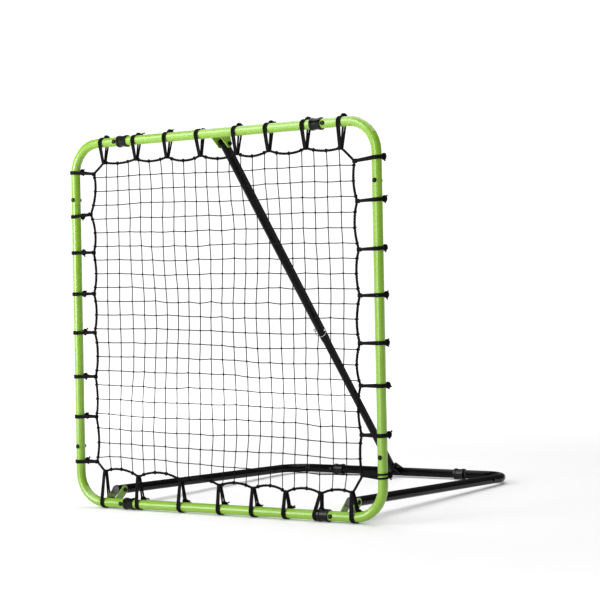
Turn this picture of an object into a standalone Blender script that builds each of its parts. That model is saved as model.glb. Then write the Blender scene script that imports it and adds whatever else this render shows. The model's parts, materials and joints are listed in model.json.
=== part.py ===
"""Pitch back rebounder: a laced net in a square tube frame, tilted on a folding base by a telescoping strut.

World axes: +X to the right seen from the front, +Y to the back, +Z up, floor at z = 0.
"""

import math

import bmesh
import bpy
from mathutils import Euler, Matrix, Vector

# ---- Driving dimensions: metres, and degrees where the name says so ----
FRAME_SPAN = 0.975  # between the centre lines of opposite frame tubes
FRAME_Y = -0.4347  # centre line of the frame's bottom tube
LEAN_DEG = 1.5  # the frame leans back this much in its steepest setting
BASE_DEPTH = 0.868  # from the frame's bottom tube back to the rear bar
ARM_X = 0.3785  # centre lines of the base's two arms

TUBE_R = 0.0125
TUBE_BORE = 0.0113
SPIGOT_R = 0.0109
SPIGOT_BORE = 0.0097
BEND_R = 0.080
GAP = 0.0003  # between pieces that touch
TUBE_SIDES = 16

SLEEVE_R = 0.0162
SLEEVE_WAIST_R = 0.0146
SLEEVE_BORE = 0.0129
SLEEVE_LENGTH = 0.031
SLEEVE_SIDES = 16
STAND_Z = SLEEVE_R * math.cos(math.pi / SLEEVE_SIDES)  # tube centres that sleeves hold off the floor

SIDE_SEAM = 0.165  # corner to the seam in the frame's side
SIDE_BOLT = 0.150
RAIL_SEAM_X = 0.314
RAIL_BOLT_X = 0.3385
ARM_SEAM = 0.140  # rear bar to the seam in the arm
ARM_BOLT = 0.124
REAR_SEAM_X = 0.210
REAR_BOLT_X = 0.2345
SPIGOT_LENGTH = 0.036

EAR_T = 0.0025
EAR_GAP = 0.0268  # between the two ears of a bracket
HINGE_BACK = 0.0360
HINGE_UP = 0.0325
STRUT_TOP_BACK = 0.0330
STRUT_TOP_DOWN = 0.0260
STRUT_FOOT_AHEAD = 0.0400
STRUT_FOOT_UP = 0.0190
ARM_NOSE = 0.0190  # arm ahead of its hinge bolt

LOWER_TUBE_R = 0.0110
LOWER_TUBE_BORE = 0.0098
TUBE_OVERRUN = 0.0120  # strut tubes beyond their end bolts
UPPER_TUBE_LENGTH = 0.693  # top bolt to the open lower end
PIN_FROM_TOP = 0.658
LOWER_TUBE_ABOVE_PIN = 0.038
HOLE_PITCH = 0.119
HOLE_COUNT = 5
PIN_R = 0.0034
PIN_HEAD_R = 0.0042
PIN_HEAD_END = 0.0240
RING_R = 0.0192
RING_HOLE_R = 0.0021
RING_WIRE_R = 0.00125
RING_TILT_DEG = 12.0

BOLT_R = 0.0030
BOLT_HOLE_R = 0.0034
HEAD_R = 0.0060
HEAD_H = 0.0040
NUT_R = 0.0058
NUT_H = 0.0045

ROPE_R = 0.0030
ROPE_SIDE_INSET = 0.0585
ROPE_BOW = 0.0090  # how far the rope bows in between two ties
TIE_R = 0.0012
# Ties of the top and the bottom: place along the tube, place along the rope, and the rope's distance from the tube
TOP_TIES = (
    (-0.387, -0.384, 0.052),
    (-0.273, -0.271, 0.049),
    (-0.165, -0.165, 0.050),
    (-0.058, -0.054, 0.053),
    (0.062, 0.064, 0.056),
    (0.163, 0.165, 0.055),
    (0.277, 0.279, 0.0565),
    (0.385, 0.384, 0.063),
)
BOTTOM_TIES = (
    (-0.403, -0.400, 0.083),
    (-0.281, -0.284, 0.0725),
    (-0.140, -0.139, 0.0675),
    (-0.010, -0.012, 0.060),
    (0.096, 0.096, 0.057),
    (0.198, 0.198, 0.052),
    (0.292, 0.305, 0.053),
    (0.403, 0.398, 0.059),
)
LEFT_TIES = (0.109, 0.232, 0.341, 0.461, 0.567, 0.680, 0.780, 0.901)  # heights
RIGHT_TIES = (0.104, 0.203, 0.324, 0.428, 0.545, 0.659, 0.778, 0.880)
NET_THICKNESS = 0.0020
NET_GAP = 0.0005

# ---- Places that follow from them ----
LEAN = math.radians(LEAN_DEG)
HINGE_Y = FRAME_Y + HINGE_BACK * math.cos(LEAN) + HINGE_UP * math.sin(LEAN)
HINGE_Z = STAND_Z + HINGE_UP * math.cos(LEAN) - HINGE_BACK * math.sin(LEAN)
REAR_Y = FRAME_Y + BASE_DEPTH
ARM_LENGTH = math.hypot(REAR_Y - HINGE_Y, HINGE_Z - STAND_Z)
ARM_SLOPE = math.atan2(HINGE_Z - STAND_Z, REAR_Y - HINGE_Y)

GREEN = ("lime_powder_coat", (0.27, 0.56, 0.035), 0.25, 0.0)
BLACK = ("black_powder_coat", (0.012, 0.012, 0.014), 0.38, 0.0)
PLASTIC = ("black_plastic", (0.010, 0.010, 0.011), 0.30, 0.0)
GREY_PLASTIC = ("grey_plastic", (0.075, 0.072, 0.078), 0.50, 0.0)
FASTENER = ("black_zinc", (0.020, 0.020, 0.021), 0.25, 0.8)
STEEL = ("spring_steel", (0.55, 0.56, 0.58), 0.22, 1.0)
CORD = ("black_cord", (0.010, 0.010, 0.010), 0.80, 0.0)

ALONG_X = Euler((0.0, math.radians(90), 0.0))  # turns a piece's +Z to +X
ALONG_MINUS_X = Euler((0.0, math.radians(-90), 0.0))
ALONG_Y = Euler((math.radians(-90), 0.0, 0.0))  # turns +Z to +Y
UPRIGHT = Euler((0.0, 0.0, 0.0))


# ---- Scene helpers ----
def clear_scene():
    for obj in list(bpy.data.objects):
        bpy.data.objects.remove(obj, do_unlink=True)


def new_collection(name):
    collection = bpy.data.collections.new(name)
    bpy.context.scene.collection.children.link(collection)
    return collection


def material(finish):
    name, colour, roughness, metallic = finish
    found = bpy.data.materials.get(name)
    if found:
        return found
    made = bpy.data.materials.new(name)
    made.use_nodes = True
    shader = made.node_tree.nodes["Principled BSDF"]
    shader.inputs["Base Color"].default_value = (*colour, 1.0)
    shader.inputs["Roughness"].default_value = roughness
    shader.inputs["Metallic"].default_value = metallic
    return made


def empty(name, location, rotation, parent=None):
    axis = bpy.data.objects.new(name, None)
    axis.empty_display_size = 0.05
    axis.location = location
    axis.rotation_euler = rotation
    axis.parent = parent
    PARTS.objects.link(axis)
    return axis


def add(name, mesh, finish, parent, location=(0, 0, 0), rotation=UPRIGHT):
    """A named piece of the object."""
    for polygon in mesh.polygons:
        polygon.use_smooth = True
    mesh.materials.append(material(finish))
    piece = bpy.data.objects.new(name, mesh)
    piece.parent = parent
    piece.location = location
    piece.rotation_euler = rotation
    PARTS.objects.link(piece)
    return piece


def tool(name, mesh, parent, location=(0, 0, 0), rotation=UPRIGHT):
    """A shape that only cuts or joins."""
    helper = bpy.data.objects.new(name, mesh)
    helper.parent = parent
    helper.location = location
    helper.rotation_euler = rotation
    helper.hide_render = True
    helper.display_type = "WIRE"
    CUTTERS.objects.link(helper)
    return helper


def combine(piece, helper, operation):
    step = piece.modifiers.new(helper.name, "BOOLEAN")
    step.operation = operation
    step.solver = "EXACT"
    step.object = helper


# ---- Shapes ----
def mesh_of_curve(curve, weld):
    """The mesh that a curve makes, with its caps welded on if it has any."""
    holder = bpy.data.objects.new(curve.name, curve)
    bpy.context.scene.collection.objects.link(holder)
    graph = bpy.context.evaluated_depsgraph_get()
    mesh = bpy.data.meshes.new_from_object(holder.evaluated_get(graph))
    bpy.data.objects.remove(holder)
    bpy.data.curves.remove(curve)
    if weld:
        shape = bmesh.new()
        shape.from_mesh(mesh)
        bmesh.ops.remove_doubles(shape, verts=shape.verts, dist=0.00001)
        shape.to_mesh(mesh)
        shape.free()
    return mesh


def round_curve(name, points, radius, sides, caps, closed=False):
    curve = bpy.data.curves.new(name, "CURVE")
    curve.dimensions = "3D"
    curve.bevel_depth = radius
    curve.bevel_resolution = (sides - 4) // 2
    curve.use_fill_caps = caps
    spline = curve.splines.new("POLY")
    spline.points.add(len(points) - 1)
    for target, point in zip(spline.points, points):
        target.co = (*point, 1.0)
    spline.use_cyclic_u = closed
    return mesh_of_curve(curve, caps)


def bent_path(start, corner, end, radius, steps=8):
    """Straight, arc, straight: a path from start to end that rounds the corner."""
    start, corner, end = Vector(start), Vector(corner), Vector(end)
    towards_start = (start - corner).normalized()
    towards_end = (end - corner).normalized()
    centre = corner + (towards_start + towards_end) * radius
    points = [start]
    for step in range(steps + 1):
        angle = math.radians(90) * step / steps
        points.append(centre - towards_end * radius * math.cos(angle) - towards_start * radius * math.sin(angle))
    points.append(end)
    return points


def bent_tube(name, path, finish, parent):
    """A hollow tube along a path, open at both ends."""
    mesh = round_curve(name, path, TUBE_R, TUBE_SIDES, caps=False)
    tube = add(name, mesh, finish, parent)
    wall = tube.modifiers.new("wall", "SOLIDIFY")
    wall.thickness = TUBE_R - TUBE_BORE
    wall.offset = -1.0
    return tube


def turned(name, profile, finish, parent, location=(0, 0, 0), rotation=UPRIGHT, steps=TUBE_SIDES, ring=True):
    """A turned piece about its own Z axis, from (radius, height) points that run down its outer side."""
    mesh = bpy.data.meshes.new(name)
    ends = [(i, i + 1) for i in range(len(profile) - 1)]
    if ring:
        ends.append((len(profile) - 1, 0))
    mesh.from_pydata([(radius, 0.0, height) for radius, height in profile], ends, [])
    piece = add(name, mesh, finish, parent, location, rotation)
    screw = piece.modifiers.new("turn", "SCREW")
    screw.steps = steps
    screw.render_steps = steps
    screw.use_merge_vertices = True
    screw.merge_threshold = 0.00005
    return piece


def straight_tube(name, low, high, finish, parent, location, rotation, spigots=(True, True)):
    """A hollow tube from low to high on its own Z, with swaged ends that enter the next tubes."""
    step = 0.004
    outer = []
    bore = []
    if spigots[1]:
        outer += [(SPIGOT_R, high + SPIGOT_LENGTH), (SPIGOT_R, high)]
        bore = [(TUBE_BORE, high - 2 * step), (SPIGOT_BORE, high - step), (SPIGOT_BORE, high + SPIGOT_LENGTH)]
    else:
        bore = [(TUBE_BORE, high)]
    outer += [(TUBE_R, high), (TUBE_R, low)]
    if spigots[0]:
        outer += [(SPIGOT_R, low), (SPIGOT_R, low - SPIGOT_LENGTH)]
        bore = [(SPIGOT_BORE, low - SPIGOT_LENGTH), (SPIGOT_BORE, low + step), (TUBE_BORE, low + 2 * step)] + bore
    else:
        bore = [(TUBE_BORE, low)] + bore
    return turned(name, outer + bore, finish, parent, location, rotation)


def cylinder_mesh(name, radius, length, sides=10):
    """A solid cylinder centred on its own Z axis, turned so that its edges miss those of the tubes."""
    shape = bmesh.new()
    bmesh.ops.create_cone(
        shape,
        cap_ends=True,
        segments=sides,
        radius1=radius,
        radius2=radius,
        depth=length,
        matrix=Matrix.Rotation(0.17, 4, "Z"),
    )
    mesh = bpy.data.meshes.new(name)
    shape.to_mesh(mesh)
    shape.free()
    return mesh


def drill(piece, name, centre, direction, radius=BOLT_HOLE_R, length=0.05):
    """Cuts a round hole right through a piece, in the piece's parent's axes."""
    cutter = tool(name, cylinder_mesh(name, radius, length), piece.parent, centre, direction)
    combine(piece, cutter, "DIFFERENCE")


def flat_mesh(name, outline, thickness):
    """A filled outline, thick along its own Z."""
    curve = bpy.data.curves.new(name, "CURVE")
    curve.dimensions = "2D"
    curve.fill_mode = "BOTH"
    curve.extrude = thickness / 2
    spline = curve.splines.new("POLY")
    spline.points.add(len(outline) - 1)
    for target, (across, up) in zip(spline.points, outline):
        target.co = (across, up, 0.0, 1.0)
    spline.use_cyclic_u = True
    return mesh_of_curve(curve, weld=True)


def arc_points(centre, radius, start_deg, end_deg, steps):
    return [
        (
            centre[0] + radius * math.cos(math.radians(start_deg + (end_deg - start_deg) * i / steps)),
            centre[1] + radius * math.sin(math.radians(start_deg + (end_deg - start_deg) * i / steps)),
        )
        for i in range(steps + 1)
    ]


def weld_ears(tube, name, outline, pivot, x, origin=(0, 0, 0)):
    """Joins a pair of bracket ears, flat across X, to a tube and drills them for their bolt."""
    to_yz = Matrix(((0, 0, 1), (1, 0, 0), (0, 1, 0))).to_4x4()
    for side in (-1, 1):
        plate = flat_mesh(name, outline, EAR_T)
        plate.transform(to_yz)
        offset = Vector((x + side * (EAR_GAP + EAR_T) / 2, 0, 0))
        ear = tool(name, plate, tube.parent, Vector(origin) + offset)
        combine(tube, ear, "UNION")
    hole = Vector(origin) + Vector((x, pivot[0], pivot[1]))
    drill(tube, name + "_hole", hole, ALONG_X)


# ---- Fasteners ----
def dome(radius, height, base):
    """Profile of a domed bolt head from its crown down to its rim."""
    return [
        (0.0, base + height),
        (0.60 * radius, base + 0.80 * height),
        (radius, base + 0.30 * height),
        (radius, base),
    ]


def bolt_and_nut(name, grip, parent, centre, rotation):
    """A dome-headed bolt through a grip that thick, its head on its own +Z side and its nut run on."""
    under_head = grip / 2 + GAP
    tail = -grip / 2 - GAP - NUT_H - 0.0008
    profile = dome(HEAD_R, HEAD_H, under_head) + [(BOLT_R, under_head), (BOLT_R, tail), (0.0, tail)]
    bolt = turned(name, profile, FASTENER, parent, centre, rotation, steps=12, ring=False)
    local = Euler(rotation).to_matrix() @ Vector((0, 0, -grip / 2 - GAP - NUT_H / 2))
    nut = tool(name + "_nut", cylinder_mesh(name, NUT_R, NUT_H, 6), parent, Vector(centre) + local, rotation)
    combine(bolt, nut, "UNION")
    return bolt


def pivot_bolt(name, grip, parent, centre, rotation, shank_end=None):
    """A pivot's bolt, its head on its own +Z side."""
    under_head = grip / 2 + GAP
    tail = -grip / 2 - 0.0068 if shank_end is None else shank_end
    profile = dome(HEAD_R, HEAD_H, under_head) + [(BOLT_R, under_head), (BOLT_R, tail), (0.0, tail)]
    return turned(name, profile, FASTENER, parent, centre, rotation, steps=12, ring=False)


def nut_profile(base, bore):
    """Profile of a lock nut with its crown up, standing on base."""
    return [
        (bore, base + 0.0058),
        (0.0045, base + 0.0058),
        (0.0051, base + NUT_H),
        (NUT_R, base + NUT_H - 0.0004),
        (NUT_R, base),
        (bore, base),
    ]


def pivot_nut(name, grip, parent, centre, rotation):
    """A lock nut that stands on the grip's own +Z side."""
    bore = (BOLT_R + GAP) / math.cos(math.radians(30))
    return turned(name, nut_profile(grip / 2 + GAP, bore), FASTENER, parent, centre, rotation, steps=6)


def sleeve(name, parent, centre, lean=0.0):
    """A flanged sleeve along X, turned so that one of its sides lies level on the floor."""
    facet = math.pi / SLEEVE_SIDES
    rotation = (Matrix.Rotation(lean + facet, 3, "X") @ ALONG_X.to_matrix()).to_euler()
    half = SLEEVE_LENGTH / 2
    profile = [
        (SLEEVE_R, half),
        (SLEEVE_R, half - 0.0060),
        (SLEEVE_WAIST_R, half - 0.0080),
        (SLEEVE_WAIST_R, -half + 0.0080),
        (SLEEVE_R, -half + 0.0060),
        (SLEEVE_R, -half),
        (SLEEVE_BORE, -half),
        (SLEEVE_BORE, half),
    ]
    return turned(name, profile, PLASTIC, parent, centre, rotation, steps=SLEEVE_SIDES)


# ---- Net frame ----
def on_frame(x, back, up):
    """A place in the leaning frame, from its bottom tube's middle, in the hinge empty's axes."""
    return Vector((x, back - HINGE_BACK, up - HINGE_UP))


def hinge_ear_outline():
    pivot = (HINGE_BACK, HINGE_UP)
    tip = arc_points(pivot, 0.0118, 132, -48, 8)
    return [(-0.0055, 0.0108), *tip, (0.0116, -0.0040), (0.0, 0.0)]


def strut_ear_outline():
    pivot = (STRUT_TOP_BACK, -STRUT_TOP_DOWN)
    tip = arc_points(pivot, 0.0110, 20, -150, 8)
    return [(0.0, 0.0), (0.0110, 0.0045), (0.0360, 0.0010), *tip, (-0.0040, -0.0110)]


def frame_corner(name, side, top, parent):
    """One bent corner tube: side is -1 or 1, top says whether it is an upper one."""
    up = FRAME_SPAN if top else 0.0
    seam_up = FRAME_SPAN - SIDE_SEAM if top else SIDE_SEAM
    x = side * FRAME_SPAN / 2
    path = bent_path(
        on_frame(x, 0, seam_up), on_frame(x, 0, up), on_frame(side * (RAIL_SEAM_X + GAP), 0, up), BEND_R
    )
    tube = bent_tube(name, path, GREEN, parent)
    if not top:
        weld_ears(tube, name + "_ear", hinge_ear_outline(), (HINGE_BACK, HINGE_UP), side * ARM_X, on_frame(0, 0, 0))
    bolt_up = FRAME_SPAN - SIDE_BOLT if top else SIDE_BOLT
    drill(tube, name + "_side_hole", on_frame(x, 0, bolt_up), ALONG_Y)
    drill(tube, name + "_rail_hole", on_frame(side * RAIL_BOLT_X, 0, up), ALONG_Y)
    return tube


def frame_side(name, side, parent):
    middle = FRAME_SPAN / 2
    x = side * FRAME_SPAN / 2
    half = middle - SIDE_SEAM - GAP
    tube = straight_tube(name, -half, half, GREEN, parent, on_frame(x, 0, middle), UPRIGHT)
    for up in (SIDE_BOLT, FRAME_SPAN - SIDE_BOLT):
        drill(tube, name + "_hole", on_frame(x, 0, up), ALONG_Y)


def frame_rail(name, up, parent):
    half = RAIL_SEAM_X - GAP
    tube = straight_tube(name, -half, half, GREEN, parent, on_frame(0, 0, up), ALONG_X)
    for side in (-1, 1):
        drill(tube, name + "_hole", on_frame(side * RAIL_BOLT_X, 0, up), ALONG_Y)
    return tube


def frame_fasteners(parent):
    grip = 2 * TUBE_R
    for side, hand in ((-1, "left"), (1, "right")):
        for up, level in ((0.0, "lower"), (FRAME_SPAN, "upper")):
            at_rail = on_frame(side * RAIL_BOLT_X, 0, up)
            bolt_and_nut(f"{level}_{hand}_rail_bolt", grip, parent, at_rail, Euler((math.radians(90), 0, 0)))
            sleeve(f"{level}_{hand}_rail_sleeve", parent, on_frame(side * RAIL_SEAM_X, 0, up), LEAN)
            up_side = SIDE_BOLT if up == 0.0 else FRAME_SPAN - SIDE_BOLT
            at_side = on_frame(side * FRAME_SPAN / 2, 0, up_side)
            bolt_and_nut(f"{level}_{hand}_side_bolt", grip, parent, at_side, Euler((math.radians(90), 0, 0)))


def tie_places():
    """Where the border rope is tied, in order round the net, as (x, up)."""
    side_x = FRAME_SPAN / 2 - ROPE_SIDE_INSET
    right = [(side_x, up) for up in RIGHT_TIES]
    top = [(x, FRAME_SPAN - inset) for _, x, inset in reversed(TOP_TIES)]
    left = [(-side_x, up) for up in reversed(LEFT_TIES)]
    bottom = [(x, inset) for _, x, inset in BOTTOM_TIES]
    return [Vector(place) for place in right + top + left + bottom]


def rope_path():
    """The border rope's line: straight to each tie, bowed inwards between two ties of one side."""
    ties = tie_places()
    points = []
    for start, end in zip(ties, ties[1:] + ties[:1]):
        points.append(start)
        along = end - start
        if along.length > 0.07:
            inwards = Vector((-along.y, along.x)).normalized()
            points.append(start + along / 2 + inwards * ROPE_BOW)
    return points


def moved_in(points, distance):
    """The closed line that runs this far inside another one."""
    moved = []
    for before, here, after in zip(points[-1:] + points[:-1], points, points[1:] + points[:1]):
        first = (here - before).normalized()
        second = (after - here).normalized()
        mitre = Vector((-first.y - second.y, first.x + second.x)).normalized()
        moved.append(here + mitre * (distance / mitre.dot(Vector((-second.y, second.x)))))
    return moved


def tie_loop(tube, rope, outwards):
    """A loop of cord round a frame tube and the border rope. outwards points from the net to the tube."""
    reach = (TUBE_R + GAP + TIE_R) / math.cos(math.radians(15))
    points = []
    for step in range(8):
        angle = math.radians(-105 + 30 * step)
        out = reach * math.cos(angle)
        points.append(on_frame(tube[0] + outwards[0] * out, reach * math.sin(angle), tube[1] + outwards[1] * out))
    for back in (0.0022, -0.0022):
        points.append(on_frame(rope[0], back, rope[1]))
    return round_curve("tie", points, TIE_R, 4, caps=False, closed=True)


def all_ties():
    """Every tie in one mesh, for the border rope to be joined to."""
    half = FRAME_SPAN / 2
    loops = [tie_loop((x, FRAME_SPAN), (at, FRAME_SPAN - inset), (0, 1)) for x, at, inset in TOP_TIES]
    loops += [tie_loop((x, 0.0), (at, inset), (0, -1)) for x, at, inset in BOTTOM_TIES]
    for side, heights in ((-1, LEFT_TIES), (1, RIGHT_TIES)):
        at = side * (half - ROPE_SIDE_INSET)
        loops += [tie_loop((side * half, up), (at, up), (side, 0)) for up in heights]
    shape = bmesh.new()
    for loop in loops:
        shape.from_mesh(loop)
    mesh = bpy.data.meshes.new("ties")
    shape.to_mesh(mesh)
    shape.free()
    return mesh


def net(parent):
    line = [on_frame(point.x, 0, point.y) for point in rope_path()]
    rope = round_curve("border_rope_and_ties", line, ROPE_R, 6, caps=False, closed=True)
    cords = add("border_rope_and_ties", rope, CORD, parent)
    combine(cords, tool("ties", all_ties(), parent), "UNION")
    outline = [tuple(point) for point in moved_in(rope_path(), ROPE_R + NET_GAP)]
    panel = flat_mesh("net_panel", outline, NET_THICKNESS)
    add("net_panel", panel, CORD, parent, on_frame(0, 0, 0), Euler((math.radians(90), 0, 0)))


def net_frame():
    hinge = empty("frame_hinge_axis", (0, HINGE_Y, HINGE_Z), (-LEAN, 0, 0))
    for side, hand in ((-1, "left"), (1, "right")):
        for top, level in ((False, "lower"), (True, "upper")):
            frame_corner(f"{level}_{hand}_corner_tube", side, top, hinge)
        frame_side(f"{hand}_side_tube", side, hinge)
        grip = EAR_GAP + 2 * EAR_T
        outboard = ALONG_X if side > 0 else ALONG_MINUS_X
        inboard = ALONG_MINUS_X if side > 0 else ALONG_X
        centre = (side * ARM_X, 0, 0)
        pivot_bolt(f"{hand}_hinge_bolt", grip, hinge, centre, outboard)
        pivot_nut(f"{hand}_hinge_nut", grip, hinge, centre, inboard)
    frame_rail("bottom_rail", 0.0, hinge)
    top_rail = frame_rail("top_rail", FRAME_SPAN, hinge)
    pivot = (STRUT_TOP_BACK, -STRUT_TOP_DOWN)
    weld_ears(top_rail, "strut_ear", strut_ear_outline(), pivot, 0.0, on_frame(0, 0, FRAME_SPAN))
    frame_fasteners(hinge)
    strut_top_fasteners(hinge)
    net(hinge)


def strut_top_fasteners(hinge):
    """The open pivot: bolt and nut each end flush inside their ear, so the strut's end stays free."""
    centre = on_frame(0, STRUT_TOP_BACK, FRAME_SPAN - STRUT_TOP_DOWN)
    grip = EAR_GAP + 2 * EAR_T
    pivot_bolt("strut_top_bolt", grip, hinge, centre, ALONG_MINUS_X, shank_end=EAR_GAP / 2 + GAP)
    stub = grip / 2 + 0.0068
    inside = EAR_GAP / 2 + GAP
    base = grip / 2 + GAP
    profile = [
        (0.0, stub),
        (BOLT_R, stub),
        (BOLT_R, base + 0.0058),
        (0.0045, base + 0.0058),
        (0.0051, base + NUT_H),
        (NUT_R, base + NUT_H - 0.0004),
        (NUT_R, base),
        (BOLT_R, base),
        (BOLT_R, inside),
        (0.0, inside),
    ]
    turned("strut_top_nut", profile, FASTENER, hinge, centre, ALONG_X, steps=6, ring=False)


# ---- Base ----
def base_corner(name, side, plane):
    x = side * ARM_X
    path = bent_path((x, -ARM_SEAM, 0), (x, 0, 0), (side * (REAR_SEAM_X + GAP), 0, 0), BEND_R)
    tube = bent_tube(name, path, BLACK, plane)
    drill(tube, name + "_arm_hole", (x, -ARM_BOLT, 0), ALONG_X)
    drill(tube, name + "_rear_hole", (side * REAR_BOLT_X, 0, 0), ALONG_Y)


def base_arm(name, side, plane):
    x = side * ARM_X
    nose = ARM_LENGTH + ARM_NOSE
    low = ARM_SEAM + GAP
    length = nose - low
    forward = Euler((math.radians(90), 0, 0))
    arm = straight_tube(name, 0.0, length, BLACK, plane, (x, -low, 0), forward, spigots=(True, False))
    drill(arm, name + "_joint_hole", (x, -ARM_BOLT, 0), ALONG_X)
    drill(arm, name + "_hinge_hole", (x, -ARM_LENGTH, 0), ALONG_X)
    cap = [
        (0.0, 0.0032),
        (0.0085, 0.0030),
        (0.0118, 0.0020),
        (TUBE_R, GAP),
        (TUBE_BORE - GAP, GAP),
        (TUBE_BORE - GAP, -0.0090),
        (0.0, -0.0090),
    ]
    turned(name + "_end_cap", cap, GREY_PLASTIC, plane, (x, -nose, 0), forward, ring=False)


def foot_ear_outline():
    pivot = (-STRUT_FOOT_AHEAD, STRUT_FOOT_UP)
    tip = arc_points(pivot, 0.0110, 60, 240, 8)
    return [(0.0, 0.0), (0.0040, 0.0110), *tip, (-0.0100, -0.0060)]


def base():
    plane = empty("base_plane", (0, REAR_Y, STAND_Z), (-ARM_SLOPE, 0, 0))
    level = empty("rear_bar_axis", (0, REAR_Y, STAND_Z), (0, 0, 0))
    grip = 2 * TUBE_R
    for side, hand in ((-1, "left"), (1, "right")):
        base_corner(f"rear_{hand}_corner_tube", side, plane)
        base_arm(f"{hand}_arm", side, plane)
        outboard = ALONG_X if side > 0 else ALONG_MINUS_X
        bolt_and_nut(f"{hand}_arm_bolt", grip, plane, (side * ARM_X, -ARM_BOLT, 0), outboard)
        front = Euler((math.radians(90), 0, 0))
        bolt_and_nut(f"rear_{hand}_bolt", grip, plane, (side * REAR_BOLT_X, 0, 0), front)
        sleeve(f"rear_{hand}_sleeve", level, (side * REAR_SEAM_X, 0, 0))
    half = REAR_SEAM_X - GAP
    bar = straight_tube("rear_bar", -half, half, BLACK, plane, (0, 0, 0), ALONG_X)
    for side in (-1, 1):
        drill(bar, "rear_bar_hole", (side * REAR_BOLT_X, 0, 0), ALONG_Y)
    weld_ears(bar, "foot_ear", foot_ear_outline(), (-STRUT_FOOT_AHEAD, STRUT_FOOT_UP), 0.0)


# ---- Strut ----
def strut_foot_place():
    tilt = Matrix.Rotation(-ARM_SLOPE, 3, "X")
    return Vector((0, REAR_Y, STAND_Z)) + tilt @ Vector((0, -STRUT_FOOT_AHEAD, STRUT_FOOT_UP))


def strut_top_place():
    tilt = Matrix.Rotation(-LEAN, 3, "X")
    return Vector((0, HINGE_Y, HINGE_Z)) + tilt @ on_frame(0, STRUT_TOP_BACK, FRAME_SPAN - STRUT_TOP_DOWN)


def strut_tube(name, low, high, radius, bore, axis):
    profile = [(radius, high), (radius, low), (bore, low), (bore, high)]
    return turned(name, profile, BLACK, axis, steps=20)


def lock_ring_path():
    """The sprung wire, from the hole in the pin's head round the front of the strut to the pin's tip."""
    angles = [math.radians(165 + 187 * i / 18) for i in range(19)]
    return [Vector((RING_R * math.cos(a), 0, RING_R * math.sin(a))) for a in angles]


def strut():
    foot, top = strut_foot_place(), strut_top_place()
    length = (top - foot).length
    swing = math.atan2(foot.y - top.y, top.z - foot.z)
    axis = empty("strut_foot_axis", foot, (swing, 0, 0))
    pin_at = length - PIN_FROM_TOP

    lower_top = pin_at + LOWER_TUBE_ABOVE_PIN
    lower = strut_tube("strut_lower_tube", -TUBE_OVERRUN, lower_top, LOWER_TUBE_R, LOWER_TUBE_BORE, axis)
    drill(lower, "strut_foot_hole", (0, 0, 0), ALONG_X)
    for hole in range(HOLE_COUNT):
        drill(lower, "strut_hole", (0, 0, pin_at - hole * HOLE_PITCH), ALONG_X, PIN_R + 0.0004)

    upper_low = length - UPPER_TUBE_LENGTH
    upper = strut_tube("strut_upper_tube", upper_low, length + TUBE_OVERRUN, TUBE_R, TUBE_BORE, axis)
    drill(upper, "strut_pin_hole", (0, 0, pin_at), ALONG_X, PIN_R + 0.0004)
    drill(upper, "strut_top_hole", (0, 0, length), ALONG_X)

    grip = EAR_GAP + 2 * EAR_T
    pivot_bolt("strut_foot_bolt", grip, axis, (0, 0, 0), ALONG_MINUS_X)
    pivot_nut("strut_foot_nut", grip, axis, (0, 0, 0), ALONG_X)

    pin_axis = empty("lock_pin_axis", (0, 0, pin_at), (-swing, 0, 0), axis)
    lock_pin(pin_axis)


def lock_pin(pin_axis):
    head_base = TUBE_R + GAP
    wall_end = TUBE_BORE - 0.00005
    head = [
        (0.0, PIN_HEAD_END),
        (0.0030, PIN_HEAD_END),
        (PIN_HEAD_R, PIN_HEAD_END - 0.0012),
        (PIN_HEAD_R, head_base),
        (PIN_R, head_base),
        (PIN_R, wall_end),
        (0.0, wall_end),
    ]
    pin = turned("lock_pin", head, STEEL, pin_axis, (0, 0, 0), ALONG_MINUS_X, steps=16, ring=False)
    ring_turn = Euler((-math.radians(RING_TILT_DEG), 0, 0))
    drill(pin, "ring_hole", (-RING_R, 0, 0), ring_turn, RING_HOLE_R)
    tip = [(0.0, 0.0162), (0.0016, 0.0160), (0.0030, 0.0148), (PIN_R, 0.0130), (PIN_R, wall_end), (0.0, wall_end)]
    turned("lock_pin_tip", tip, STEEL, pin_axis, (0, 0, 0), ALONG_X, steps=16, ring=False)
    wire = round_curve("lock_ring", lock_ring_path(), RING_WIRE_R, 6, caps=True)
    add("lock_ring", wire, STEEL, pin_axis, (0, 0, 0), ring_turn)


clear_scene()
PARTS = new_collection("pitch_back_rebounder")
CUTTERS = new_collection("cutters")
base()
net_frame()
strut()
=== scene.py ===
"""Pitch back rebounder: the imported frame, with its net, border rope and ties made as real cord."""

import json
import math
import random

import bpy
import numpy as np
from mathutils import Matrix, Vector


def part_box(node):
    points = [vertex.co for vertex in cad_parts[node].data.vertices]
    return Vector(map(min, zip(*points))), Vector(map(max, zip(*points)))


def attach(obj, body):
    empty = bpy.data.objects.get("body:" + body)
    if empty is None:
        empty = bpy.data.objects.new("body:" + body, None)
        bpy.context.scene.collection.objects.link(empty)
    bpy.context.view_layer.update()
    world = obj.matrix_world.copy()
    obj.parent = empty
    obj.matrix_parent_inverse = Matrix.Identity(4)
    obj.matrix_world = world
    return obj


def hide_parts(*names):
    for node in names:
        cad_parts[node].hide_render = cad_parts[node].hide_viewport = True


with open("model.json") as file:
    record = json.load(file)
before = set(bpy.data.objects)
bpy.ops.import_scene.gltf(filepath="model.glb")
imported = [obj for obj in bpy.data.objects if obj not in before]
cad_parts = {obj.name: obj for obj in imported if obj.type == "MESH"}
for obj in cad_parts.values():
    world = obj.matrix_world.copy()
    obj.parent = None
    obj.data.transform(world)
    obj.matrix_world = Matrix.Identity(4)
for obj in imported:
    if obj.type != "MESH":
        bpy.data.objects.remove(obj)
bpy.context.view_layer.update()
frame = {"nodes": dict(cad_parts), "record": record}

# ---- Sizes in metres ----
TUBE_R = 0.0125
ROPE_STRAND_R = 0.00180
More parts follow.
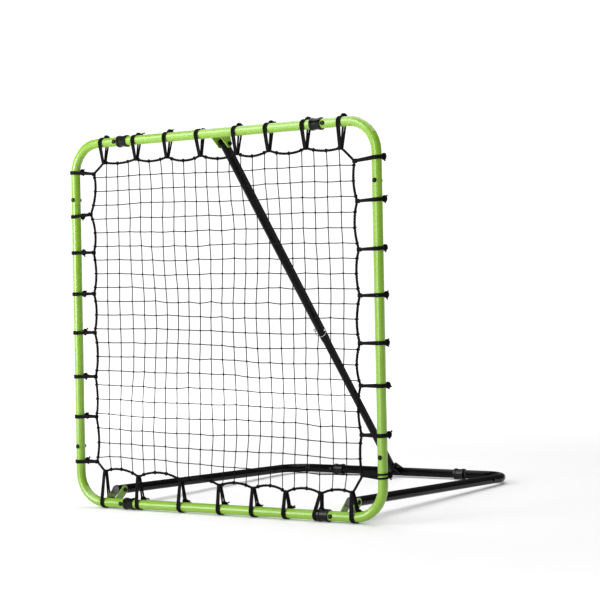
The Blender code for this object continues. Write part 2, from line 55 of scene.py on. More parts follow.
ROPE_LAY = 0.00190  # strand centres from the rope's own centre line
ROPE_PITCH = 0.019
ROPE_R = ROPE_STRAND_R + ROPE_LAY
ROPE_STEP = 0.0031  # between the points of a strand
TIE_THICK = 0.0013  # half the flattened cord's thickness
RAIL_TIE_WIDE = 0.0032  # half its width, on the two rails
SIDE_TIE_WIDE = 0.0025
KNOT_R = 0.0036  # of the pulled cord in a tie's knot
KNOT_SIZE = 0.00190  # the size of that knot's line, for trefoil()
TAIL_ROOT_R = 0.0024
TAIL_TIP_R = 0.0018
TWINE_R = 0.0013
TWINE_KNOT_R = 0.00110
TWINE_KNOT_SIZE = 0.00068
MESH_PITCH = 0.03767
COLUMNS = 21
ROWS = 21
FIRST_ROW_UP = 0.106  # from the bottom tube up to the net's lowest row
LAST_ROW_DOWN = 0.100  # from the top tube down to its highest
NET_BELLY = 0.012  # how far the middle of the net hangs back
ANY_TURN = 6.28  # a random start angle is drawn from 0 to this
# Ties: place along the tube, place along the rope, how far in the rope is,
# and where round the tube the knot sits, in degrees from straight outwards
TOP_TIES = (
    (-0.387, -0.384, 0.052, 44),
    (-0.273, -0.271, 0.049, 40),
    (-0.165, -0.165, 0.050, 40),
    (-0.058, -0.054, 0.053, 62),
    (0.062, 0.064, 0.056, 38),
    (0.163, 0.165, 0.055, 42),
    (0.277, 0.279, 0.0565, 42),
    (0.385, 0.384, 0.063, 40),
)
BOTTOM_TIES = (
    (-0.403, -0.400, 0.083, 126),
    (-0.281, -0.284, 0.0725, 128),
    (-0.140, -0.139, 0.0675, 130),
    (-0.010, -0.012, 0.060, 127),
    (0.096, 0.096, 0.057, 131),
    (0.198, 0.198, 0.052, 128),
    (0.292, 0.305, 0.053, 126),
    (0.403, 0.398, 0.059, 128),
)
LEFT_TIES = (
    (0.109, 0.109, 0.0585, 122),
    (0.232, 0.232, 0.0585, 124),
    (0.341, 0.341, 0.0585, 120),
    (0.461, 0.461, 0.0585, 122),
    (0.567, 0.567, 0.0585, 121),
    (0.680, 0.679, 0.0600, 123),
    (0.779, 0.784, 0.0515, 118),
    (0.900, 0.893, 0.0655, 128),
)
RIGHT_TIES = (
    (0.104, 0.104, 0.0585, 58),
    (0.203, 0.203, 0.0585, 60),
    (0.324, 0.324, 0.0585, 57),
    (0.428, 0.428, 0.0585, 59),
    (0.545, 0.545, 0.0560, 58),
    (0.659, 0.658, 0.0560, 61),
    (0.778, 0.777, 0.0580, 57),
    (0.881, 0.876, 0.0640, 55),
)
# How far the rope bows in between two ties
TOP_BOWS = (0.007, 0.010, 0.013, 0.012, 0.012, 0.012, 0.008)
LEFT_BOWS = (0.007, 0.008, 0.009, 0.008, 0.009, 0.011, 0.013)
RIGHT_BOWS = (0.007, 0.010, 0.009, 0.010, 0.010, 0.009, 0.008)
BOTTOM_BOWS = (0.014, 0.017, 0.013, 0.012, 0.013, 0.013, 0.010)


# ---- The net frame's own axes, from the CAD pieces ----
def middle_of(node):
    low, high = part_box(node)
    return (Vector(low) + Vector(high)) / 2


SEAM_BOTTOM = middle_of("lower_left_rail_sleeve")
SEAM_TOP = middle_of("upper_left_rail_sleeve")
ORIGIN = Vector((0.0, SEAM_BOTTOM.y, SEAM_BOTTOM.z))
SPAN = (SEAM_TOP - SEAM_BOTTOM).length
HALF = abs(middle_of("right_side_tube").x)
UP = (SEAM_TOP - SEAM_BOTTOM).normalized()
ACROSS = Vector((1.0, 0.0, 0.0))
BACK = UP.cross(ACROSS)
AXES = np.array([ACROSS, BACK, UP])


# ---- Camera ----
def make_camera():
    """Looks at the frame from the front right, almost level, from about four and a half metres."""
    distance, lens, sensor = 4.457, 106.965, 36.0
    azimuth, elevation, roll = math.radians(34.58), math.radians(1.009), math.radians(-1.97)
    target = Vector((0.2623, ORIGIN.y, ORIGIN.z + 0.5376))
    away = Vector(
        (
            math.sin(azimuth) * math.cos(elevation),
            -math.cos(azimuth) * math.cos(elevation),
            math.sin(elevation),
        )
    )
    data = bpy.data.cameras.new("camera")
    data.lens = lens
    data.sensor_width = sensor
    camera = bpy.data.objects.new("camera", data)
    bpy.context.scene.collection.objects.link(camera)
    camera.location = target + away * distance
    camera.rotation_euler = away.to_track_quat("Z", "Y").to_matrix().to_euler()
    camera.rotation_euler.rotate_axis("Z", roll)
    bpy.context.scene.camera = camera


# ---- Materials ----
class Nodes:
    """A material under construction: its shader, and short ways to add the nodes that feed it."""

    def __init__(self, name, colour, roughness, metallic=0.0):
        self.material = bpy.data.materials.new(name)
        self.material.use_nodes = True
        self.tree = self.material.node_tree
        self.shader = self.tree.nodes["Principled BSDF"]
        self.set("Base Color", (*colour, 1.0))
        self.set("Roughness", roughness)
        self.set("Metallic", metallic)

    def set(self, socket, value):
        self.shader.inputs[socket].default_value = value

    def add(self, kind, **values):
        node = self.tree.nodes.new(kind)
        for key, value in values.items():
            if key in node.inputs:
                node.inputs[key].default_value = value
            else:
                setattr(node, key, value)
        return node

    def link(self, source, target):
        self.tree.links.new(source, target)

    def place(self, uv=None):
        """Where on the piece: its own axes, or a named UV map."""
        if uv:
            return self.add("ShaderNodeUVMap", uv_map=uv).outputs["UV"]
        return self.add("ShaderNodeTexCoord").outputs["Object"]

    def noise(self, scale, detail=3.0, rough=0.55, vector=None):
        node = self.add("ShaderNodeTexNoise")
        node.inputs["Scale"].default_value = scale
        node.inputs["Detail"].default_value = detail
        node.inputs["Roughness"].default_value = rough
        self.link(vector or self.place(), node.inputs["Vector"])
        return node.outputs["Fac"]

    def colour(self, source, stops):
        """The surface's colour, from a ramp along the source."""
        node = self.add("ShaderNodeValToRGB")
        elements = node.color_ramp.elements
        while len(elements) < len(stops):
            elements.new(0.5)
        for element, (place, colour) in zip(elements, stops):
            element.position = place
            element.color = (*colour, 1.0)
        self.link(source, node.inputs["Fac"])
        self.link(node.outputs["Color"], self.shader.inputs["Base Color"])

    def roughness(self, source, low, high):
        """The surface's roughness, from low to high as the source goes from 0 to 1."""
        node = self.add("ShaderNodeMapRange")
        node.inputs["To Min"].default_value = low
        node.inputs["To Max"].default_value = high
        self.link(source, node.inputs["Value"])
        self.link(node.outputs["Result"], self.shader.inputs["Roughness"])

    def normal(self, source):
        self.link(source, self.shader.inputs["Normal"])

    def compute(self, operation, *values):
        """A Math node's result. Each value is a number, or another node's output."""
        node = self.add("ShaderNodeMath", operation=operation)
        for socket, value in zip(node.inputs, values):
            if isinstance(value, float):
                socket.default_value = value
            else:
                self.link(value, socket)
        return node.outputs["Value"]

    def bump(self, source, distance, strength, under=None):
        """A surface normal from a height, on top of the one under it."""
        node = self.add("ShaderNodeBump")
        node.inputs["Distance"].default_value = distance
        node.inputs["Strength"].default_value = strength
        self.link(source, node.inputs["Height"])
        if under:
            self.link(under, node.inputs["Normal"])
        return node.outputs["Normal"]


def grey(value):
    return (value, value, value)


def scaled(colour, factor):
    return tuple(part * factor for part in colour)


def powder_coat(name, dark, bright, roughness, peel, coat, gloss):
    """Sprayed and baked colour on steel tube: faint orange peel, uneven gloss, and slow drifts in shade."""
    made = Nodes(name, bright, roughness)
    drift = made.noise(9.0, 4.0)
    made.colour(drift, [(0.30, dark), (0.70, bright)])
    made.roughness(made.noise(55.0, 5.0, 0.6), roughness - 0.05, roughness + 0.09)
    made.set("Coat Weight", coat)
    made.set("Coat Roughness", 0.20)
    made.set("Specular IOR Level", gloss)
    fine = made.bump(made.noise(900.0, 1.0), peel, 0.04)
    made.normal(made.bump(made.noise(140.0, 2.0), peel * 2, 0.05, fine))
    return made.material


def plastic(name, colour, roughness, grain):
    """Moulded plastic: fine grain, and a slightly uneven gloss."""
    made = Nodes(name, colour, roughness)
    made.set("Specular IOR Level", 0.20)
    blotch = made.noise(40.0, 3.0)
    made.colour(blotch, [(0.3, scaled(colour, 0.7)), (0.7, scaled(colour, 1.25))])
    made.roughness(blotch, roughness - 0.06, roughness + 0.08)
    made.normal(made.bump(made.noise(1500.0, 2.0), grain, 0.5))
    return made.material


def plated(name, colour, roughness, spots):
    """Plated steel: small darker spots, and a fine grain that breaks up its reflections."""
    made = Nodes(name, colour, roughness, 1.0)
    made.colour(made.noise(350.0, 4.0, 0.7), [(0.35, spots), (0.6, colour)])
    made.roughness(made.noise(120.0), roughness - 0.08, roughness + 0.12)
    made.normal(made.bump(made.noise(2200.0, 2.0), 0.00002, 0.4))
    return made.material


def cord_material(name, colour, twist, around, fuzz):
    """Braided or laid cord: its colour has painted shade in the grooves between the strands and a painted
    sheen on their ridges. The named UV map runs along it (in cord widths) and around it.
    """
    made = Nodes(name, colour, 0.78)
    split = made.add("ShaderNodeSeparateXYZ")
    made.link(made.place("cord"), split.inputs["Vector"])
    ridges = []
    for hand in (1.0, -1.0):
        along = made.compute("MULTIPLY", split.outputs["X"], twist * hand)
        both = made.compute("MULTIPLY_ADD", split.outputs["Y"], around, along)
        ridges.append(made.compute("SINE", made.compute("MULTIPLY", both, 2 * math.pi)))
    braid_and_painted_shade = made.compute("MAXIMUM", *ridges)
    # Painted shade and sheen: the colour is the cord's own in the grooves between the strands, and 2.2 times
    # as light on their ridges.
    made.colour(braid_and_painted_shade, [(0.0, colour), (1.0, scaled(colour, 2.2))])
    made.set("Specular IOR Level", 0.08)
    weave = made.bump(braid_and_painted_shade, 0.00022, 0.7)
    made.normal(made.bump(made.noise(fuzz, 2.0), 0.0001, 0.5, weave))
    return made.material


def wear(node, material):
    target = frame["nodes"][node]
    target.data.materials.clear()
    target.data.materials.append(material)


def dress_frame():
    """Gives every CAD piece its finish, from the slot that the record names for it."""
    dark_green, bright_green = (0.192, 0.372, 0.019), (0.222, 0.418, 0.026)
    dark_steel, bright_steel = (0.42, 0.42, 0.43), (0.60, 0.61, 0.63)
    dull_grey = (0.070, 0.068, 0.073)
    finishes = {
        "green_powder_coat": powder_coat("green_coat", dark_green, bright_green, 0.40, 0.000010, 1.0, 0.12),
        "black_powder_coat": powder_coat("black_coat", grey(0.0012), grey(0.0026), 0.10, 0.000008, 0.0, 0.11),
        "black_plastic": plastic("black_plastic", grey(0.0026), 0.13, 0.000003),
        "grey_plastic": plastic("grey_plastic", dull_grey, 0.48, 0.00003),
        "black_zinc": plated("black_zinc", grey(0.020), 0.10, grey(0.010)),
        "spring_steel": plated("spring_steel", bright_steel, 0.20, dark_steel),
    }
    for part in frame["record"]["subparts"]:
        if part["material_slot"] in finishes:
            wear(part["node"], finishes[part["material_slot"]])


# ---- Cord geometry ----
def swept(points, radius, sides, closed, flat=None):
    """Vertices, faces and UVs of a cord along points. The UVs run along it in cord widths, and around it.

    flat is (direction, half width) for a flattened cord, which keeps its broad side along that direction.
    """
    path = np.asarray(points, float)
    count = len(path)
    ahead = np.roll(path, -1, axis=0) - path
    behind = path - np.roll(path, 1, axis=0)
    if not closed:
        ahead[-1] = behind[-1]
        behind[0] = ahead[0]
    ahead /= np.linalg.norm(ahead, axis=1, keepdims=True)
    behind /= np.linalg.norm(behind, axis=1, keepdims=True)
    tangent = ahead + behind
    tangent /= np.linalg.norm(tangent, axis=1, keepdims=True)
    normal = np.zeros_like(path)
    start = np.cross(tangent[0], (0.31, 0.17, 0.93))
    normal[0] = start / np.linalg.norm(start)
    for i in range(1, count):
        carried = normal[i - 1] - tangent[i] * normal[i - 1].dot(tangent[i])
        normal[i] = carried / np.linalg.norm(carried)
    angles = np.arange(sides) * 2 * math.pi / sides
    twist = np.zeros(count)
    if closed:
        carried = normal[-1] - tangent[0] * normal[-1].dot(tangent[0])
        across = np.cross(tangent[0], normal[0])
        twist = -np.arange(count) / count * math.atan2(carried.dot(across), carried.dot(normal[0]))
    side = np.cross(tangent, normal)
    radii = np.broadcast_to(np.asarray(radius, float), (count,))
    widths = radii
    if flat:
        broad = np.asarray(flat[0], float)
        side = broad - tangent * (tangent @ broad)[:, None]
        side /= np.linalg.norm(side, axis=1, keepdims=True)
        normal = np.cross(side, tangent)
        widths = np.broadcast_to(np.asarray(flat[1], float), (count,))
        twist = np.zeros(count)
    turn = twist[:, None] + angles[None, :]
    ring = (
        path[:, None, :]
        + radii[:, None, None] * np.cos(turn)[:, :, None] * normal[:, None, :]
        + widths[:, None, None] * np.sin(turn)[:, :, None] * side[:, None, :]
    )
    runs = count if closed else count - 1
    lengths = np.concatenate([[0.0], np.cumsum(np.linalg.norm(np.diff(path, axis=0), axis=1)), [0.0]])
    lengths[-1] = lengths[-2] + np.linalg.norm(path[-1] - path[0])
    lengths /= 2 * float(np.mean(widths))
    faces, uvs = [], []
    for i in range(runs):
        here, there = i * sides, ((i + 1) % count) * sides
        for j in range(sides):
            k = (j + 1) % sides
            faces.append((here + j, here + k, there + k, there + j))
            low, high = j / sides, (j + 1) / sides
            uvs += [(lengths[i], low), (lengths[i], high), (lengths[i + 1], high), (lengths[i + 1], low)]
    if not closed:
        last = (count - 1) * sides
        faces.append(tuple(range(sides - 1, -1, -1)))
        faces.append(tuple(range(last, last + sides)))
        uvs += [(0.0, 0.0)] * (2 * sides)
    return ring.reshape(-1, 3), faces, uvs


class Cords:
    """Collects cords and makes one mesh of them."""

    def __init__(self):
        self.points, self.faces, self.uvs, self.count = [], [], [], 0

    def add(self, shape):
        points, faces, uvs = shape
        self.points.append(points)
        self.faces += [tuple(index + self.count for index in face) for face in faces]
        self.uvs += uvs
        self.count += len(points)

    def run(self, points, radius, sides=6, closed=False, flat=None):
        self.add(swept(points, radius, sides, closed, flat))

    def build(self, name, material, slot, body="net_frame"):
        mesh = bpy.data.meshes.new(name)
        mesh.from_pydata(np.concatenate(self.points).tolist(), [], self.faces)
        layer = mesh.uv_layers.new(name="cord")
        layer.data.foreach_set("uv", np.asarray(self.uvs, float).ravel())
        mesh.polygons.foreach_set("use_smooth", [True] * len(mesh.polygons))
        mesh.materials.append(material)
        piece = bpy.data.objects.new(name, mesh)
        bpy.context.scene.collection.objects.link(piece)
        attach(piece, body)
        return piece


def smooth_line(points, spacing, closed=False):
    """A curve through the points (Catmull-Rom), resampled at an even spacing."""
    steps = 4  # from each point to the next, before the resampling
    knots = [np.asarray(point, float) for point in points]
    if closed:
        knots = [knots[-1], *knots, knots[0], knots[1]]
    else:
        knots = [2 * knots[0] - knots[1], *knots, 2 * knots[-1] - knots[-2]]
    fine = []
    for a, b, c, d in zip(knots, knots[1:], knots[2:], knots[3:]):
        for step in range(steps):
            t = step / steps
            square = 2 * a - 5 * b + 4 * c - d
            cube = 3 * b - a - 3 * c + d
            fine.append(0.5 * (2 * b + (c - a) * t + square * t**2 + cube * t**3))
    fine.append(knots[-2])
    return evenly(np.array(fine), spacing, closed)


def evenly(path, spacing, closed=False):
    """The same line with points an even distance apart. A closed line's first point isn't repeated."""
    steps = np.linalg.norm(np.diff(path, axis=0), axis=1)
    along = np.concatenate([[0.0], np.cumsum(steps)])
    count = max(2, int(round(along[-1] / spacing)))
    wanted = np.linspace(0.0, along[-1], count + 1)
    line = np.stack([np.interp(wanted, along, path[:, axis]) for axis in range(3)], axis=1)
    return line[:-1] if closed else line


def to_world(local):
    """Rows of (across, back, up) in the net frame's axes, as places in the scene."""
    return np.asarray(local, float) @ AXES + np.array(ORIGIN)


# ---- Border rope ----
def spans():
    """Each run of rope from one tie to the next: its ends as (across, up), and how far it bows in."""
    right = [(HALF - inset, up) for _, up, inset, _ in RIGHT_TIES]
    top = [(x, SPAN - inset) for _, x, inset, _ in reversed(TOP_TIES)]
    left = [(inset - HALF, up) for _, up, inset, _ in reversed(LEFT_TIES)]
    bottom = [(x, inset) for _, x, inset, _ in BOTTOM_TIES]
    ties = right + top + left + bottom
    bows = [*RIGHT_BOWS, 0.0, *reversed(TOP_BOWS), 0.0, *reversed(LEFT_BOWS), 0.0, *BOTTOM_BOWS, 0.0]
    return list(zip(ties, ties[1:] + ties[:1], bows))


def rope_line():
    """The rope's centre line as rows of (across, back, up).

    It is an arch between ties, drawn out to a point at each, and wanders a little to the front and the back.
    """
    rows = []
    for number, (start, end, bow) in enumerate(spans()):
        start, end = np.array(start), np.array(end)
        along = end - start
        inwards = np.array((-along[1], along[0])) / np.linalg.norm(along)
        steps = 24 if bow else 8  # the four corners are short and straight
        lean = 0.0018 * math.sin(2.3 * number)
        for step in range(steps):
            t = step / steps
            arch = 4 * t * (1 - t)
            place = start + along * t + inwards * bow * arch**0.85
            wander = 0.0012 * math.sin(1.7 * number + 3 * t)
            rows.append((place[0], wander * arch + lean * arch, place[1]))
    line = evenly(np.array(rows + rows[:1]), 0.0035, closed=True)
    for _ in range(2):
        line = (np.roll(line, 1, axis=0) + 2 * line + np.roll(line, -1, axis=0)) / 4
    return line


def make_rope(line, material):
    """Three strands laid round each other, in a whole number of turns."""
    centre = to_world(evenly(np.vstack([line, line[:1]]), ROPE_STEP, closed=True))
    count = len(centre)
    length = np.linalg.norm(np.roll(centre, -1, axis=0) - centre, axis=1).sum()
    turns = round(length / ROPE_PITCH)
    tangent = np.roll(centre, -1, axis=0) - np.roll(centre, 1, axis=0)
    tangent /= np.linalg.norm(tangent, axis=1, keepdims=True)
    back = np.array(BACK)
    first = back - tangent * (tangent @ back)[:, None]
    first /= np.linalg.norm(first, axis=1, keepdims=True)
    second = np.cross(tangent, first)
    cords = Cords()
    for strand in range(3):
        angle = 2 * math.pi * (turns * np.arange(count) / count + strand / 3)
        offset = np.cos(angle)[:, None] * first + np.sin(angle)[:, None] * second
        cords.run(centre + ROPE_LAY * offset, ROPE_STRAND_R, sides=6, closed=True)
    rope = cords.build("border_rope", material, "border_cord")
    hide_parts("border_rope_and_ties")


# ---- Net ----
def crossing(line, axis, value, high):
    """Where the rope's line is met by a column (axis 0) or a row (axis 2), on its high or low side."""
    other = 2 - axis
    found = []
    for here, there in zip(line, np.roll(line, -1, axis=0)):
        if (here[axis] - value) * (there[axis] - value) <= 0 and here[axis] != there[axis]:
            t = (value - here[axis]) / (there[axis] - here[axis])
            found.append(here + (there - here) * t)
    found.sort(key=lambda place: place[other])
    return found[-1] if high else found[0]


def askew(x, up):
    """How far a row lies above its even place.

    The net hangs higher on the left, and lower at the upper right.
    """
    least_lift, extra_lift = 0.007, 0.098
    drop, drop_starts, drop_fades_in = -0.009, 0.4, 0.3
    net_width = 0.86
    t = up / SPAN
    left = least_lift + extra_lift * t * (1 - t) ** 2
    right = drop * min(1.0, max(0.0, (t - drop_starts) / drop_fades_in))
    share = min(1.0, max(0.0, 0.5 - x / net_width))
    return left * share + right * (1 - share)


def net_grid(line):
    """The twines' crossings as (across, back, up), relaxed into an even slack.

    The first and the last of each row and column lie on the rope. The grid's four corners are unused.
    """
    splay = 0.0015  # the columns end this much to the left at the bottom, and to the right at the top
    grid = np.zeros((ROWS + 2, COLUMNS + 2, 3))
    across = (np.arange(COLUMNS) - (COLUMNS - 1) / 2) * MESH_PITCH
    rise = np.linspace(FIRST_ROW_UP, SPAN - LAST_ROW_DOWN, ROWS)
    for column, x in enumerate(across, 1):
        grid[0, column] = crossing(line, 0, x - splay, high=False)
        grid[-1, column] = crossing(line, 0, x + splay, high=True)
    for row, up in enumerate(rise, 1):
        grid[row, 0] = crossing(line, 2, up + askew(-HALF, up), high=False)
        grid[row, -1] = crossing(line, 2, up + askew(HALF, up), high=True)
        grid[row, 1:-1, 0] = across + 2 * splay * (up / SPAN - 0.5)
        grid[row, 1:-1, 2] = [up + askew(x, up) for x in across]
    for _ in range(14):
        inner = (grid[:-2, 1:-1] + grid[2:, 1:-1] + grid[1:-1, :-2] + grid[1:-1, 2:]) / 4
        grid[1:-1, 1:-1] += 0.5 * (inner - grid[1:-1, 1:-1])
    return slacken(grid)


def slacken(grid):
    """The hand-tied net's unevenness: slow waves, small jitter, and a belly to the back."""
    draw = random.Random(41)
    waves = [
        (draw.uniform(3, 17), draw.uniform(3, 17), draw.uniform(0, ANY_TURN), draw.uniform(0, ANY_TURN), axis)
        for axis in (0, 1, 2)
        for _ in range(7)
    ]
    size = (0.0011, 0.0028, 0.0013)  # of a wave, along each axis
    jitter_across, jitter_up = 0.0008, 0.0010
    for row in range(1, ROWS + 1):
        for column in range(1, COLUMNS + 1):
            x, _, up = grid[row, column]
            edge = min(row, ROWS + 1 - row, column, COLUMNS + 1 - column)
            hold = min(1.0, edge / 3)
            for turn_x, turn_up, phase, other, axis in waves:
                wave = math.sin(turn_x * x + phase) * math.sin(turn_up * up + other)
                grid[row, column, axis] += hold * size[axis] * wave
            belly = NET_BELLY * math.cos(math.pi * x / (2 * HALF)) * math.sin(math.pi * up / SPAN)
            grid[row, column, 1] += belly * hold
            grid[row, column, 0] += draw.gauss(0, jitter_across) * hold
            grid[row, column, 2] += draw.gauss(0, jitter_up) * hold
    return grid


def twine_run(places):
    """One length of twine through its knots, with a touch of slack in each mesh."""
    droop = np.array((0.0, 0.0004, -0.0005))
    rows = [places[0]]
    for start, end in zip(places, places[1:]):
        rows.append(start + (end - start) * 0.33 + droop)
        rows.append(start + (end - start) * 0.67 + droop)
        rows.append(end)
    return to_world(np.array(rows))


def trefoil(size, steps):
    """An overhand knot's line, about its own middle, flat in its first two axes."""
    angle = np.arange(steps) * 2 * math.pi / steps
    return size * np.stack(
        [
            np.sin(angle) + 2 * np.sin(2 * angle),
            np.cos(angle) - 2 * np.cos(2 * angle),
            -1.1 * np.sin(3 * angle),
        ],
        axis=1,
    )


def rolled(points, angle):
    """Points turned about their third axis."""
    cos, sin = math.cos(angle), math.sin(angle)
    return points @ np.array([[cos, sin, 0.0], [-sin, cos, 0.0], [0.0, 0.0, 1.0]])


def make_net(line, material):
    """The twines each way, a knot at every crossing, and the hitches that hang them on the rope."""
    grid = net_grid(line)
    twine = Cords()
    for column in range(1, COLUMNS + 1):
        twine.run(twine_run(grid[:, column]), TWINE_R, sides=5)
    for row in range(1, ROWS + 1):
        twine.run(twine_run(grid[row]), TWINE_R, sides=5)
    net = twine.build("net_twine", material, "net_cord")
    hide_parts("net_panel")

    knots = Cords()
    draw = random.Random(7)
    knot = trefoil(TWINE_KNOT_SIZE, 16)
    for row in range(1, ROWS + 1):
        for column in range(1, COLUMNS + 1):
            upright = rolled(knot, draw.uniform(0, ANY_TURN))[:, [0, 2, 1]]
            knots.run(to_world(upright + grid[row, column]), TWINE_KNOT_R, sides=4, closed=True)
    knots.build("net_knots", material, "net_cord")
    make_hitches(grid, line, material)


def make_hitches(grid, line, material):
    """Where the outermost meshes hang on the border rope: each twine makes a turn and a half round it."""
    turn_steps, steps, width = 12, 18, 0.0036
    reach = ROPE_R + TWINE_R * 0.3
    hitches = Cords()
    tangents = np.roll(line, -2, axis=0) - np.roll(line, 2, axis=0)
    ends = [*grid[0, 1:-1], *grid[-1, 1:-1], *grid[1:-1, 0], *grid[1:-1, -1]]
    for place in ends:
        nearest = int(np.argmin(((line - place) ** 2).sum(axis=1)))
        along = tangents[nearest] / np.linalg.norm(tangents[nearest])
        first = np.cross(along, (0.0, 1.0, 0.0))
        first /= np.linalg.norm(first)
        second = np.cross(along, first)
        rows = []
        for step in range(steps + 1):
            angle = 2 * math.pi * step / turn_steps
            offset = reach * (math.cos(angle) * first + math.sin(angle) * second)
            rows.append(place + offset + along * (step / steps - 0.5) * width)
        hitches.run(to_world(rows), TWINE_R * 0.95, sides=4)
    hitches.build("net_hitches", material, "net_cord")


# ---- Ties ----
def straight_run(start, end, along_from, along_to):
    """Three rows on the straight from start to end, while the place along the tube goes with them."""
    start, end = np.array(start), np.array(end)
    rows = []
    for t in (0.25, 0.5, 0.75):
        out, back = start + (end - start) * t
        rows.append((out, back, along_from + (along_to - along_from) * t))
    return rows


def tie_loop(inset, front, rear, node):
    """One strand of a tie round the tube and the rope, as rows of (outwards, back, along the tube).

    front and rear say where it crosses the tube's two sides, and node where it takes the rope.
    """
    far, near = TUBE_R + TIE_THICK + 0.0003, ROPE_R + TIE_THICK * 0.8
    reach = math.pi / 2 + math.asin((far - near) / inset)
    round_tube = np.linspace(-reach, reach, 15)
    round_rope = np.linspace(reach, 2 * math.pi - reach, 7)
    tube = [(far * math.cos(angle), far * math.sin(angle)) for angle in round_tube]
    rope = [(near * math.cos(angle) - inset, near * math.sin(angle)) for angle in round_rope]
    rows = straight_run(rope[-1], tube[0], node, front)
    for number, (out, back) in enumerate(tube):
        t = number / (len(tube) - 1)
        rows.append((out, back, front + (rear - front) * (3 * t**2 - 2 * t**3)))
    rows += straight_run(tube[-1], rope[0], rear, node)
    rows += [(out, back, node) for out, back in rope]
    return np.array(rows)


class Tie:
    """A doubled elastic cord round the tube and the rope, pulled flat, and knotted behind the tube.

    Its loops lie a little askew along the tube, and loose moves them apart.
    """

    def __init__(self, name, place, outwards, node, inset, knot_angle, tails, seed, loose=0.0):
        self.name, self.inset, self.node, self.tails, self.loose = name, inset, node, tails, loose
        self.wide, self.gap = (SIDE_TIE_WIDE, 0.0020) if outwards[0] else (RAIL_TIE_WIDE, 0.0040)
        self.draw = random.Random(seed)
        self.centre = np.array((place[0], 0.0, place[1]))
        self.outwards = np.array((outwards[0], 0.0, outwards[1]))
        self.along = np.array((abs(outwards[1]), 0.0, abs(outwards[0])))
        self.angle = math.radians(knot_angle + self.draw.uniform(-4, 4))
        self.cords = Cords()

    def lay(self, rows):
        """Rows of (outwards, back, along the tube) as places in the scene."""
        rows = np.asarray(rows, float)
        back = np.array((0.0, 1.0, 0.0))
        away = rows[:, :1] * self.outwards + rows[:, 1:2] * back
        return to_world(self.centre + away + rows[:, 2:3] * self.along)

    def loops(self):
        """The two flattened strands, one on each hand of the tie's middle."""
        broad = self.along @ AXES
        self.skew = self.draw.uniform(-0.0007, 0.0004)
        self.spread = self.draw.uniform(0.5, 1.1) * self.gap
        for hand in (-1, 1):
            front = self.skew + hand * (self.wide * 1.04 + self.loose)
            rear = self.spread + hand * (self.gap * self.draw.uniform(0.85, 1.25) + self.loose)
            rows = tie_loop(self.inset, front, rear, self.node + hand * self.gap / 2)
            line = smooth_line(rows, 0.0042, closed=True)
            self.cords.run(self.lay(line), TIE_THICK, sides=8, closed=True, flat=(broad, self.wide))

    def hold(self):
        """Three turns round the border rope."""
        turn_steps, steps, width = 12, 36, 0.0084
        reach = ROPE_R + TIE_THICK
        turns = []
        for step in range(steps + 1):
            angle = 2 * math.pi * step / turn_steps
            along = self.node + (step / steps - 0.5) * width
            turns.append((reach * math.cos(angle) - self.inset, reach * math.sin(angle), along))
        self.cords.run(self.lay(turns), TIE_THICK * 1.25)

    def knot(self):
        """Two overhand knots' lines in one place, which read as one tight knot, and the tails out of it."""
        radial = np.array((math.cos(self.angle), math.sin(self.angle), 0.0))
        around = np.array((-math.sin(self.angle), math.cos(self.angle), 0.0))
        axis = np.array((0.0, 0.0, 1.0))
        middle = radial * (TUBE_R + 2 * TIE_THICK + 0.0038) + axis * self.spread
        start = self.draw.uniform(0, ANY_TURN)
        for turn in (0.0, math.pi / 3):
            turned = rolled(trefoil(KNOT_SIZE, 36), start + turn)
            line = middle + turned[:, :1] * around + turned[:, 1:2] * axis + turned[:, 2:3] * radial
            self.cords.run(self.lay(line), KNOT_R, sides=8, closed=True)
        for along, out, length in self.tails:
            heading = axis * along + radial * out + around * self.draw.uniform(-0.25, 0.25)
            heading /= np.linalg.norm(heading)
            length *= self.draw.uniform(0.85, 1.15)
            bend = around * self.draw.uniform(-0.3, 0.3) - radial * 0.15
            rows = [middle + heading * length * t + bend * length * t**2 for t in np.linspace(0, 1, 6)]
            line = self.lay(smooth_line(rows, 0.0025))
            self.cords.run(line, np.linspace(TAIL_ROOT_R, TAIL_TIP_R, len(line)), sides=6)

    def build(self, material):
        self.loops()
        self.hold()
        self.knot()
        return self.cords.build(self.name, material, "border_cord")


def make_ties(material):
    """Tails are (along the tube, away from it, length)."""
    for number, (x, node, inset, angle) in enumerate(TOP_TIES, 1):
        tails = [(0.9, 0.3, 0.013 if number % 3 == 0 else 0.009)]
        if number == 2:
            tails = [(0.9, 0.9, 0.021), (1.0, 0.1, 0.015)]
        tie = Tie(f"tie_top_{number}", (x, SPAN), (0, 1), node - x, inset, angle, tails, number)
        tie.build(material)
    for number, (x, node, inset, angle) in enumerate(BOTTOM_TIES, 1):
        tails = [(1.0, 0.05, 0.021), (1.0, 0.45, 0.015)]
        tie = Tie(f"tie_bottom_{number}", (x, 0.0), (0, -1), node - x, inset, angle, tails, 20 + number)
        tie.build(material)
    for side, hand, ties in ((-1, "left", LEFT_TIES), (1, "right", RIGHT_TIES)):
        for number, (up, node, inset, angle) in enumerate(ties, 1):
            tails = [(-0.7, 0.3, 0.012), (0.6 if number % 3 else -0.2, 0.5, 0.0125)]
            loose = 0.0022 if (side, number) == (1, 1) else 0.0
            place, seed = (side * HALF, up), 60 + 20 * side + number
            tie = Tie(f"tie_{hand}_{number}", place, (side, 0), node - up, inset, angle, tails, seed, loose)
            tie.build(material)


# ---- Studio ----
FLOOR_HALF = 60.0
SKY = 0.14
BACKDROP = 1.1
# The floor glows by itself, faintly round the object and almost white from afar
NEAR_GLOW, FAR_GLOW = 0.07, 0.95
GLOW_STARTS, GLOW_FULL = 0.9, 4.0


def soft_box(name, place, aim, width, height, radiance):
    """A rectangular area light, by how bright its face is."""
    data = bpy.data.lights.new(name, "AREA")
    data.shape = "RECTANGLE"
    data.size, data.size_y = width, height
    data.energy = radiance * math.pi * width * height
    light = bpy.data.objects.new(name, data)
    light.location = place
    light.rotation_euler = (Vector(aim) - Vector(place)).to_track_quat("-Z", "Y").to_euler()
    bpy.context.scene.collection.objects.link(light)


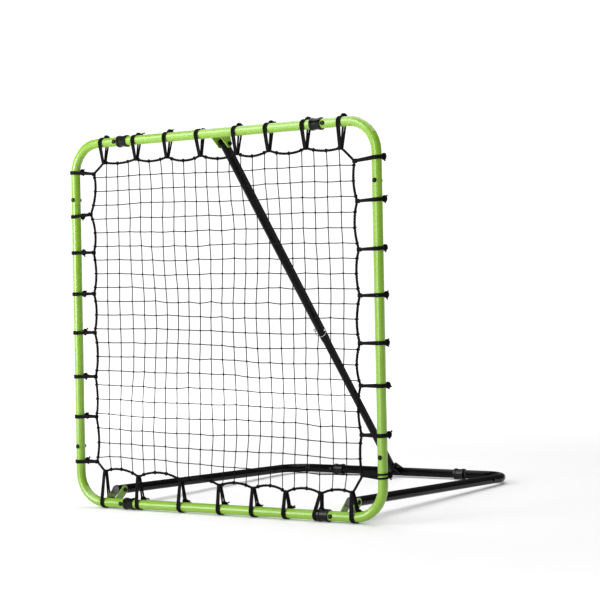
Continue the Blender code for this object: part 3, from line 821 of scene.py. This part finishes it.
def make_studio():
    """A white floor without an end, a white background, and soft boxes in front, beside and above."""
    mesh = bpy.data.meshes.new("studio_floor")
    corners = [(x * FLOOR_HALF, y * FLOOR_HALF, 0.0) for x, y in ((-1, -1), (1, -1), (1, 1), (-1, 1))]
    mesh.from_pydata(corners, [], [(0, 1, 2, 3)])
    floor = bpy.data.objects.new("studio_floor", mesh)
    bpy.context.scene.collection.objects.link(floor)
    paper = Nodes("studio_paper", grey(0.90), 0.9)
    paper.set("Specular IOR Level", 0.0)
    paper.set("Emission Color", (1.0, 1.0, 1.0, 1.0))
    reach = paper.add("ShaderNodeVectorMath", operation="LENGTH")
    paper.link(paper.place(), reach.inputs[0])
    glow = paper.add("ShaderNodeMapRange", interpolation_type="SMOOTHSTEP")
    glow.inputs["From Min"].default_value = GLOW_STARTS
    glow.inputs["From Max"].default_value = GLOW_FULL
    glow.inputs["To Min"].default_value = NEAR_GLOW
    glow.inputs["To Max"].default_value = FAR_GLOW
    paper.link(reach.outputs["Value"], glow.inputs["Value"])
    paper.link(glow.outputs["Result"], paper.shader.inputs["Emission Strength"])
    mesh.materials.append(paper.material)
    light_world()
    soft_box("stripe", (-1.5, -6.0, 1.2), (0.0, -0.3, 0.6), 2.2, 2.4, 8.0)
    soft_box("edge", (-2.8, -4.8, 0.95), (0.1, 0.3, 0.1), 2.2, 0.6, 13.0)
    soft_box("side", (-5.0, 0.4, 1.3), (0.0, 0.0, 0.6), 4.0, 2.6, 1.6)
    soft_box("key", (-2.0, -3.6, 2.9), (0.0, 0.0, 0.0), 2.6, 1.6, 8.0)
    soft_box("top", (0.0, 0.4, 3.0), (0.0, 0.2, 0.0), 3.6, 3.2, 2.3)
    bpy.context.scene.view_settings.view_transform = "Standard"


def light_world():
    """A dim sky that lights the object, and a white one that the camera sees."""
    world = bpy.data.worlds.new("studio")
    world.use_nodes = True
    tree = world.node_tree
    sky = tree.nodes["Background"]
    sky.inputs["Color"].default_value = (1.0, 1.0, 1.0, 1.0)
    sky.inputs["Strength"].default_value = SKY
    backdrop = tree.nodes.new("ShaderNodeBackground")
    backdrop.inputs["Color"].default_value = (1.0, 1.0, 1.0, 1.0)
    backdrop.inputs["Strength"].default_value = BACKDROP
    ray = tree.nodes.new("ShaderNodeLightPath")
    mix = tree.nodes.new("ShaderNodeMixShader")
    tree.links.new(ray.outputs["Is Camera Ray"], mix.inputs["Fac"])
    tree.links.new(sky.outputs["Background"], mix.inputs[1])
    tree.links.new(backdrop.outputs["Background"], mix.inputs[2])
    tree.links.new(mix.outputs["Shader"], tree.nodes["World Output"].inputs["Surface"])
    bpy.context.scene.world = world


make_camera()
dress_frame()
LINE = rope_line()
TIE_CORD = cord_material("tie_cord", grey(0.0032), 0.55, 4.0, 1800.0)
ROPE_CORD = cord_material("rope_cord", grey(0.0034), 0.9, 3.0, 1500.0)
NET_CORD = cord_material("net_cord", grey(0.0034), 0.45, 2.0, 2500.0)
make_rope(LINE, ROPE_CORD)
make_net(LINE, NET_CORD)
make_ties(TIE_CORD)
make_studio()
